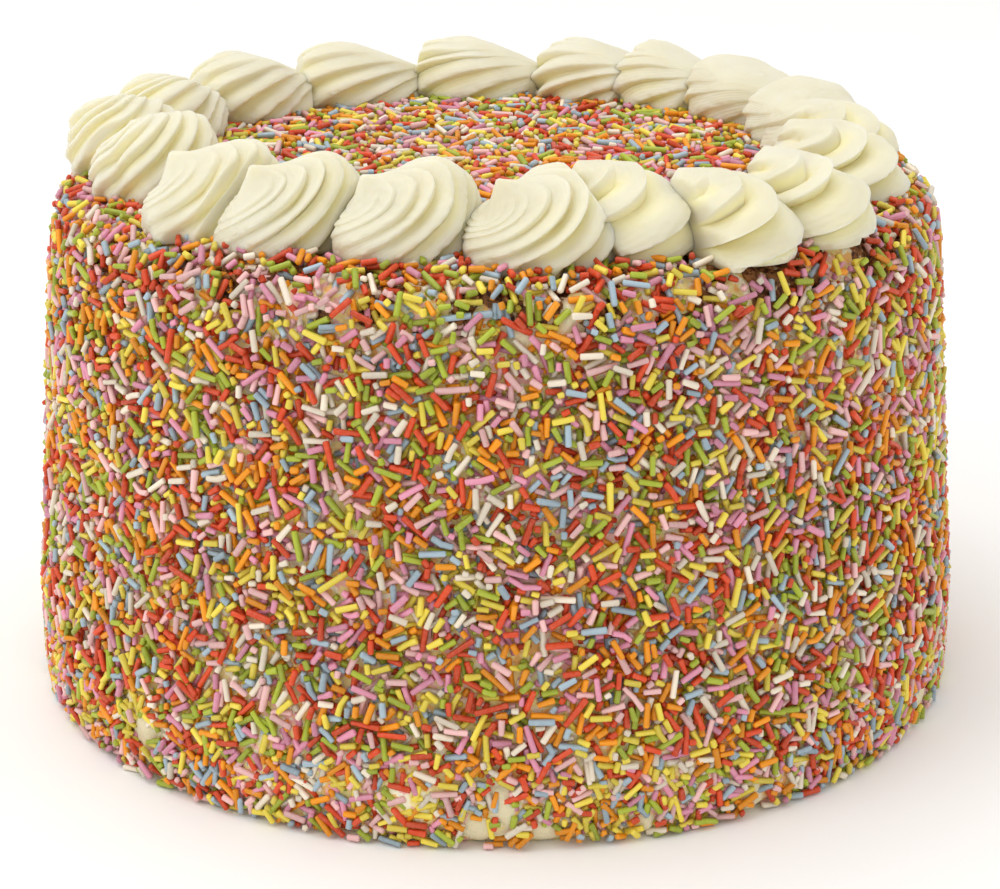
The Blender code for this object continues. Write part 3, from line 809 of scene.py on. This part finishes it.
def build_crumbs(material):
    """Loose sponge crumbs stuck along the top edge: small balls with each point pushed in or out by chance,
    then stretched."""
    draw = np.random.default_rng(SEED + 2)
    number = 900
    across = draw.random(number) * 2.0 * math.pi * MAP_RADIUS
    shoulder = way_to_height(0.0975)
    along = shoulder + draw.random(number) * (SIDE_LENGTH - shoulder)
    point, level, upward, outward = side_frame(across, along)
    keep = draw.random(number) < sponge_and_shade_share(point)
    point, level, upward, outward = (values[keep] for values in (point, level, upward, outward))
    number = len(point)
    rings, sides = 5, 7
    polar = (np.arange(rings) + 1) * math.pi / (rings + 1)
    angle = np.arange(sides) * 2.0 * math.pi / sides
    ball = np.stack([
        np.sin(polar)[:, None] * np.cos(angle), np.sin(polar)[:, None] * np.sin(angle),
        np.repeat(np.cos(polar)[:, None], sides, axis=1),
    ], axis=-1).reshape(-1, 3)
    ball = np.concatenate([ball, [[0, 0, 1.0], [0, 0, -1.0]]])
    size = draw.uniform(0.0005, 0.0012, number)[:, None, None]
    shape = 1.0 + 0.28 * draw.normal(size=(number, len(ball), 1)).clip(-1.5, 1.5)
    stretch = draw.uniform(0.7, 1.3, (number, 1, 3))
    local = ball * shape * stretch * size
    centre = point + outward * (icing_relief(point) + 0.0002)[:, None]
    points = (
        centre[:, None] + level[:, None] * local[..., :1] + upward[:, None] * local[..., 1:2]
        + outward[:, None] * local[..., 2:3]
    )
    first = np.arange(number)[:, None, None] * len(ball)
    quads = grid_quads(rings, sides)[:, ::-1]
    fans = np.concatenate([
        fan(rings * sides, np.arange(sides)),
        fan(rings * sides + 1, (rings - 1) * sides + np.arange(sides), turned=True),
    ])
    faces = [(first + quads).reshape(-1, 4), (first + fans).reshape(-1, 3)]
    make_piece("sponge_crumbs", points.reshape(-1, 3), faces, material, ["cake"])


# Cream swirls.

def ring_point(angle, distance):
    """A place on the top: x = shift + distance sin(angle), y = -distance cos(angle)."""
    turn = math.radians(angle)
    return np.array([RING_SHIFT_X + distance * math.sin(turn), -distance * math.cos(turn), 0.0])


def ring_direction(angle):
    """The direction along the ring of swirls, counter-clockwise seen from above."""
    turn = math.radians(angle)
    return np.array([math.cos(turn), math.sin(turn), 0.0])


def swirl_surface(outline, level, swirl):
    """A mound of cream about a tip that stands off its middle. A point lies between the tip and an oval foot,
    spread by the sine of its level, and falls by a power of the cosine of it from the tip's height, while the
    far side swells like half a sine wave. A small point stands on the tip and falls off as an exponential."""
    tip = swirl.tip_place * swirl.half_length
    spread = np.sin(FOOT_TUCK * level * math.pi / 2.0)
    x = tip + (swirl.half_length * np.cos(outline) - tip) * spread
    y = swirl.half_width * np.sin(outline) * spread
    fall = np.abs(np.cos(level * math.pi / 2.0)) ** swirl.style.fall_power
    swell = np.abs(np.sin(math.pi * np.minimum(level, 1.0) ** HEAD_PLACE)) ** HEAD_POWER
    head = swell * (1.0 + np.cos(outline)) / 2.0
    peak = swirl.peak * np.exp(-((level / PEAK_REACH) ** PEAK_POWER))
    z = swirl.height * (swirl.tip_height * fall + (1.0 - HEAD_LOSS * swirl.tip_height) * head) + peak
    return np.stack([x, y, z], axis=-1)


def groove_share(share, style):
    """0 at a rib's crest and 1 in the grooves on both sides of it; the drop past the crest is the steeper.
    Soft ribs have grooves with a round floor, by the sine of that share."""
    crest = style.crest_place
    rising = np.clip((crest - share) / crest, 0.0, 1.0) ** style.rise_power
    falling = np.clip((share - crest) / (1.0 - crest), 0.0, 1.0) ** style.drop_power
    sharp = rising + falling
    return sharp + style.soft * (SOFT_DEPTH * np.sin(0.5 * math.pi * sharp) - sharp)


def cut_grooves(points, outline, level, share, depths, swirl):
    """Pulls the grooves between ribs towards the middle of the swirl, by their depth times a power of the
    distance from the tip, and gives how deep a place lies in a groove."""
    length, width = swirl.half_length, swirl.half_width
    low = np.minimum(points[..., 2], 0.35 * swirl.height)
    middle = np.stack([np.full_like(level, 0.10 * length), np.zeros_like(level), low], axis=-1)
    inward = middle - points
    reach = np.linalg.norm(inward, axis=-1)
    run = np.hypot(length * (np.cos(outline) - swirl.tip_place), width * np.sin(outline))
    room = np.minimum(1.0, run / (ROOM_REACH * length)) ** ROOM_POWER
    start, full = swirl.style.fade
    ease = smooth_step(start, full, level)
    groove = groove_share(share, swirl.style)
    depth = swirl.groove * depths * room * ease * groove
    return points + inward * (depth / np.maximum(reach, 0.001))[..., None], groove * ease * room


def lean_and_turn(points, swirl):
    """Leans a swirl along its length, x + lean (z - 0.3 height), then turns it on the spot by its axis."""
    sine, cosine = math.sin(math.radians(swirl.axis)), math.cos(math.radians(swirl.axis))
    x = points[..., 0] + swirl.lean * (points[..., 2] - 0.3 * swirl.height)
    y, z = points[..., 1], points[..., 2]
    return np.stack([x * cosine - y * sine, x * sine + y * cosine, z], axis=-1)


def contact_plane(index):
    """Where a swirl meets the next: a place, the direction along the ring, a lean and a slant."""
    first, second = SWIRLS[index], SWIRLS[(index + 1) % len(SWIRLS)]
    share, lean, slant = CONTACTS[index]
    angle = first.angle + share * ((second.angle - first.angle) % 360.0)
    return ring_point(angle, 0.5 * (first.distance + second.distance)), ring_direction(angle), lean, slant


def press_contact(points, contact, side):
    """Squeezes what comes near the contact surface and goes past it: the way left to the surface falls off as
    exp(-way), so that the swirl sinks into the next only a little."""
    place, direction, lean, slant = contact
    inward = np.array([-direction[1], direction[0], 0.0])
    offset = points - place
    away = side * (offset @ direction + lean * points[..., 2] - slant * (offset @ inward)) - OVERLAP
    over = np.maximum(away + CONTACT_DEPTH, 0.0)
    squeezed = np.where(away > -CONTACT_DEPTH, -CONTACT_DEPTH * np.exp(-over / CONTACT_DEPTH), away)
    return points + np.multiply.outer((squeezed - away) * side, direction)


def build_swirl(index, material):
    """One swirl: its surface, grooves, fine lines left by the nozzle, torn crests and a soft wander. Its
    rings run from the tip to the foot. Its columns follow the ribs, which twist by a power of the level."""
    swirl = SWIRLS[index]
    ribs = swirl.style.ribs
    draw = np.random.default_rng(SEED + 100 + index)
    columns = COLUMNS // ribs * ribs
    share = np.tile(np.arange(columns // ribs) * ribs / columns, ribs)
    rib = np.repeat(np.arange(ribs), columns // ribs)
    widths = 1.0 + RIB_SPREAD * draw.normal(size=ribs).clip(-1.6, 1.6)
    edges = np.concatenate([[0.0], np.cumsum(widths)]) * 2.0 * math.pi / widths.sum()
    depths = (1.0 + GROOVE_SPREAD * draw.normal(size=ribs).clip(-1.5, 1.5))[rib]
    spread = edges[rib] + share * (edges[rib + 1] - edges[rib])
    levels = TIP_LEVEL + (1.0 - TIP_LEVEL) * np.linspace(0.0, 1.0, SWIRL_RINGS) ** 0.92
    levels[-1] = 0.9999
    level, around = np.meshgrid(levels, spread, indexing="ij")
    share = np.broadcast_to(share, level.shape)
    depths = np.broadcast_to(depths, level.shape)
    outline = around + swirl.twist * (1.0 - level) ** swirl.style.twist_power + swirl.phase
    points = swirl_surface(outline, level, swirl)
    points, groove = cut_grooves(points, outline, level, share, depths, swirl)
    points = lean_and_turn(points, swirl)
    direction = ring_direction(swirl.angle)
    inward = np.array([-direction[1], direction[0], 0.0])
    centre = ring_point(swirl.angle, swirl.distance)
    up = np.array([0.0, 0.0, 1.0])
    world = centre + points[..., :1] * direction + points[..., 1:2] * inward + points[..., 2:] * up
    # Softness: a slow wander of the whole, and lines along the ribs, torn where a crest runs thin.
    out = world - centre - 0.25 * swirl.height * up
    out /= np.maximum(np.linalg.norm(out, axis=-1, keepdims=True), 1e-6)
    slow = ripples(world, ripple_set(draw, 10, 0.008, 0.020))
    lines = np.sin(around * ribs * 5.0 + 2.0 * slow) * (0.4 + 0.6 * smooth_step(0.2, 0.9, level))
    tear = ripples(world, ripple_set(draw, 16, 0.0011, 0.0028))
    crest = np.exp(-(((share - swirl.style.crest_place) / 0.10) ** 2)) * smooth_step(0.35, 0.9, level)
    offset = WANDER * slow * smooth_step(0.0, 0.4, level) + NOZZLE_LINES * lines
    offset = offset + TORN_CRESTS * tear * crest + GRAIN * tear
    world = world + out * offset[..., None]
    world = press_contact(world, contact_plane(index), 1.0)
    world = press_contact(world, contact_plane((index - 1) % len(SWIRLS)), -1.0)
    world[..., 2] += TOP + GAP
    world[..., 2] = np.minimum(world[..., 2], cad_box[1][2])
    foot = world[-1].copy()
    foot[:, 2] = TOP - FOOT_SINK
    foot[:, :2] = foot[:, :2] * (1.0 - FOOT_SHRINK) + centre[:2] * FOOT_SHRINK
    tip = world[0].mean(axis=0)
    base = np.array([centre[0], centre[1], TOP - FOOT_SINK])
    flat = np.concatenate([world.reshape(-1, 3), foot, [tip], [base]])
    rows = SWIRL_RINGS + 1
    last = rows * columns
    faces = [
        grid_quads(rows, columns)[:, ::-1], fan(last, np.arange(columns)),
        fan(last + 1, (rows - 1) * columns + np.arange(columns), turned=True),
    ]
    # How deep each point lies in a groove; the cream's material paints a yellow shade into the grooves by it.
    crease_shade = np.concatenate([groove.ravel(), groove[-1], [0.0, 0.0]])
    name = f"cream_swirl_{index + 1:02d}"
    make_piece("piped_" + name, flat, faces, material, [name], {"crease_shade": crease_shade})


# Materials. Colours are given as the screen shows them.

# The third cream colour is painted shade: the yellower colour of the grooves' floors.
CREAM_PALE, CREAM_WARM, CREAM_CREASE_SHADE = (0.880, 0.863, 0.778), (0.870, 0.848, 0.748), (0.950, 0.922, 0.720)
ICING_TINT, ICING_BARE = (0.97, 0.90, 0.62), (0.90, 0.86, 0.72)
# Stains of the icing: how fine their patches are, the noise value at which they start, and their colour.
ICING_STAINS = (
    (310.0, 0.52, (0.97, 0.76, 0.46)), (420.0, 0.55, (0.96, 0.76, 0.72)), (530.0, 0.54, (0.98, 0.95, 0.84)),
)
SPONGE_DARK, SPONGE_WARM, SPONGE_FLECK = (0.26, 0.13, 0.06), (0.60, 0.40, 0.22), (0.86, 0.78, 0.62)
CRUMB_DARK, CRUMB_WARM = (0.34, 0.18, 0.09), (0.66, 0.45, 0.26)
FLOOR_PALE, FLOOR_WHITE = (0.985, 0.985, 0.985), (0.995, 0.995, 0.995)


def linear(colour):
    """Screen colour to linear light."""
    values = np.array(colour, dtype=float)
    return tuple(np.where(values <= 0.04045, values / 12.92, ((values + 0.055) / 1.055) ** 2.4)) + (1.0,)


class Finish:
    """A material with short ways to add and join its nodes."""

    def __init__(self, name):
        """Makes a material of this name with one plain shader."""
        self.material = bpy.data.materials.new(name)
        self.material.use_nodes = True
        self.tree = self.material.node_tree
        self.shader = self.tree.nodes["Principled BSDF"]
        self.place = self.add("ShaderNodeTexCoord").outputs["Object"]

    def add(self, kind, **settings):
        """A new node with these settings."""
        node = self.tree.nodes.new(kind)
        for title, value in settings.items():
            setattr(node, title, value)
        return node

    def join(self, source, target):
        """Leads one socket into another."""
        self.tree.links.new(source, target)

    def noise(self, scale, detail=2.0, roughness=0.5):
        """A noise of 0 to 1 in the piece's own space, with this many waves to the metre."""
        node = self.add("ShaderNodeTexNoise")
        node.inputs["Scale"].default_value = scale
        node.inputs["Detail"].default_value = detail
        node.inputs["Roughness"].default_value = roughness
        self.join(self.place, node.inputs["Vector"])
        return node.outputs["Fac"]

    def value(self, name):
        """What the mesh carries at each point under this name."""
        return self.add("ShaderNodeAttribute", attribute_name=name).outputs["Fac"]

    def span(self, source, low, high, to_low=0.0, to_high=1.0):
        """Turns values from low to high into values from to_low to to_high, by a smooth step."""
        node = self.add("ShaderNodeMapRange", interpolation_type="SMOOTHSTEP")
        for title, number in (("From Min", low), ("From Max", high), ("To Min", to_low), ("To Max", to_high)):
            node.inputs[title].default_value = number
        self.join(source, node.inputs["Value"])
        return node.outputs["Result"]

    def reckon(self, kind, first, second):
        """The sum or product of two values."""
        node = self.add("ShaderNodeMath", operation=kind)
        for slot, item in zip(node.inputs, (first, second)):
            if isinstance(item, (int, float)):
                slot.default_value = item
            else:
                self.join(item, slot)
        return node.outputs["Value"]

    def mix(self, share, first, second):
        """The first colour where the share is 0, and the second where it is 1."""
        node = self.add("ShaderNodeMix", data_type="RGBA")
        for slot, item in ((node.inputs[0], share), (node.inputs[6], first), (node.inputs[7], second)):
            if isinstance(item, (int, float, tuple)):
                slot.default_value = item
            else:
                self.join(item, slot)
        return node.outputs[2]

    def bump(self, source, strength, distance, under=None):
        """Fine relief by a height from 0 to 1, on top of another relief if there is one."""
        node = self.add("ShaderNodeBump")
        node.inputs["Strength"].default_value = strength
        node.inputs["Distance"].default_value = distance
        self.join(source, node.inputs["Height"])
        if under is not None:
            self.join(under, node.inputs["Normal"])
        return node.outputs["Normal"]

    def set(self, **numbers):
        """Sets numbers that are the same all over the surface."""
        for title, value in numbers.items():
            self.shader.inputs[title.replace("_", " ")].default_value = value


def sugar_finish(name, colour):
    """Hard sugar with a waxy skin: one dye, lighter or deeper from strand to strand, and faintly mottled."""
    finish = Finish("sugar_" + name)
    base = np.array(colour)
    deep = linear(base * 0.86)
    light = linear(np.minimum(base * 1.04 + 0.01, 1.0))
    tone = finish.mix(finish.value("tone"), deep, light)
    mottle = finish.span(finish.noise(1400.0, 2.0), 0.35, 0.75)
    worn = finish.mix(finish.reckon("MULTIPLY", mottle, 0.22), tone, linear(base * 0.60 + 0.38))
    finish.join(worn, finish.shader.inputs["Base Color"])
    finish.join(finish.span(finish.noise(900.0), 0.3, 0.7, 0.26, 0.42), finish.shader.inputs["Roughness"])
    finish.join(finish.bump(finish.noise(3200.0, 2.0), 0.20, 0.00006), finish.shader.inputs["Normal"])
    finish.set(Specular_IOR_Level=0.38)
    return finish.material


def cream_finish():
    """Whipped cream: ivory, with a painted yellow shade deep in its grooves, softly lit through, with a grain
    of bubbles.
    """
    finish = Finish("whipped_cream")
    broad = finish.span(finish.noise(90.0, 2.0), 0.35, 0.65)
    ivory = finish.mix(broad, linear(CREAM_PALE), linear(CREAM_WARM))
    # Painted shade: the colour turns yellower the deeper a place lies in a groove.
    crease_shade = finish.span(finish.value("crease_shade"), 0.10, 0.90, 0.0, 0.80)
    finish.join(finish.mix(crease_shade, ivory, linear(CREAM_CREASE_SHADE)), finish.shader.inputs["Base Color"])
    finish.join(finish.span(finish.noise(600.0), 0.3, 0.7, 0.42, 0.58), finish.shader.inputs["Roughness"])
    grain = finish.bump(finish.noise(2600.0, 3.0, 0.6), 0.18, 0.00008)
    finish.join(finish.bump(finish.noise(420.0, 2.0), 0.22, 0.00030, grain), finish.shader.inputs["Normal"])
    finish.set(Subsurface_Weight=0.8, Subsurface_Scale=0.0036, Specular_IOR_Level=0.32)
    finish.shader.inputs["Subsurface Radius"].default_value = (1.0, 0.88, 0.62)
    return finish.material


def icing_finish():
    """Spread buttercream, tinted where dye has run, with brown sponge and its holes where it lies thin; the
    dark sponge along the top edge is partly painted shade under the swirls.
    """
    finish = Finish("spread_icing")
    cream = linear(ICING_TINT)
    for scale, low, stain in ICING_STAINS:
        cream = finish.mix(finish.span(finish.noise(scale), low, low + 0.06), cream, linear(stain))
    cream = finish.mix(finish.span(finish.value("bare"), 0.1, 0.6), cream, linear(ICING_BARE))
    pores = finish.noise(760.0, 3.0, 0.65)
    sponge = finish.mix(finish.span(pores, 0.40, 0.58), linear(SPONGE_DARK), linear(SPONGE_WARM))
    fleck = finish.span(finish.noise(420.0, 2.0), 0.60, 0.66)
    sponge = finish.mix(fleck, sponge, linear(SPONGE_FLECK))
    # The edge between icing and sponge is ragged, because a noise is added to the share before it is cut.
    noise = finish.reckon("MULTIPLY", finish.noise(300.0, 3.0), 0.9)
    # The sponge patches along the top edge are partly painted shade under the feet of the swirls.
    share = finish.span(finish.reckon("ADD", finish.value("sponge_and_shade"), noise), 0.95, 1.10)
    finish.join(finish.mix(share, cream, sponge), finish.shader.inputs["Base Color"])
    rough = finish.bump(pores, 0.7, 0.0006)
    finish.join(finish.bump(finish.noise(330.0, 3.0), 0.35, 0.0005, rough), finish.shader.inputs["Normal"])
    finish.set(Roughness=0.58, Subsurface_Weight=0.15, Subsurface_Scale=0.0012, Specular_IOR_Level=0.35)
    return finish.material


def crumb_finish():
    """Baked sponge: warm brown, darker in its pores."""
    finish = Finish("sponge")
    pores = finish.noise(900.0, 3.0, 0.65)
    colour = finish.mix(finish.span(pores, 0.38, 0.62), linear(CRUMB_DARK), linear(CRUMB_WARM))
    finish.join(colour, finish.shader.inputs["Base Color"])
    finish.join(finish.bump(pores, 0.6, 0.0003), finish.shader.inputs["Normal"])
    finish.set(Roughness=0.85, Specular_IOR_Level=0.25)
    return finish.material


# Stage. The colour of the light is given in linear light.

SKY_COLOUR = (1.0, 0.99, 0.97)
SKY_STRENGTH = 0.84
# Lamps: name, place, size in metres and power in watts.
LAMPS = (("above", (-0.25, 0.10, 1.60), 1.20, 8.0), ("key", (-0.75, -0.50, 0.75), 0.60, 2.0))
LAMP_AIM = (0.0, 0.0, 0.06)
FLOOR_REACH = 8.0


def build_stage():
    """A pale floor, soft light from above and from the front left, and the camera."""
    scene = bpy.context.scene
    scene.view_settings.view_transform = "Standard"
    world = bpy.data.worlds.new("studio")
    scene.world = world
    world.use_nodes = True
    sky = world.node_tree.nodes["Background"]
    sky.inputs["Color"].default_value = SKY_COLOUR + (1.0,)
    sky.inputs["Strength"].default_value = SKY_STRENGTH

    mesh = bpy.data.meshes.new("floor")
    corners = [(x * FLOOR_REACH, y * FLOOR_REACH, 0) for x, y in ((-1, -1), (1, -1), (1, 1), (-1, 1))]
    mesh.from_pydata(corners, [], [(0, 1, 2, 3)])
    floor = bpy.data.objects.new("floor", mesh)
    scene.collection.objects.link(floor)
    finish = Finish("pale_floor")
    shade = finish.mix(finish.noise(3.0), linear(FLOOR_PALE), linear(FLOOR_WHITE))
    finish.join(shade, finish.shader.inputs["Base Color"])
    finish.set(Roughness=0.9, Specular_IOR_Level=0.1)
    mesh.materials.append(finish.material)

    for name, place, size, power in LAMPS:
        lamp = bpy.data.lights.new(name, "AREA")
        lamp.shape = "DISK"
        lamp.size = size
        lamp.energy = power
        lamp.color = SKY_COLOUR
        holder = bpy.data.objects.new(name, lamp)
        holder.location = place
        toward = np.array(LAMP_AIM) - np.array(place)
        level = math.hypot(toward[0], toward[1])
        holder.rotation_euler = (math.atan2(level, -toward[2]), 0.0, math.atan2(-toward[0], toward[1]))
        scene.collection.objects.link(holder)

    data = bpy.data.cameras.new("camera")
    data.sensor_width = 36.0
    data.lens = LENS
    data.clip_start = 0.01
    camera = bpy.data.objects.new("camera", data)
    camera.location = CAMERA_PLACE
    camera.rotation_euler = (math.radians(90.0 - CAMERA_DOWN), 0.0, 0.0)
    scene.collection.objects.link(camera)
    scene.camera = camera


build_stage()
build_icing(icing_finish())
build_crumbs(crumb_finish())
build_strands({name: sugar_finish(name, colour) for name, (colour, _) in STRAND_COLOURS.items()})
cream = cream_finish()
for number in range(len(SWIRLS)):
    build_swirl(number, cream)
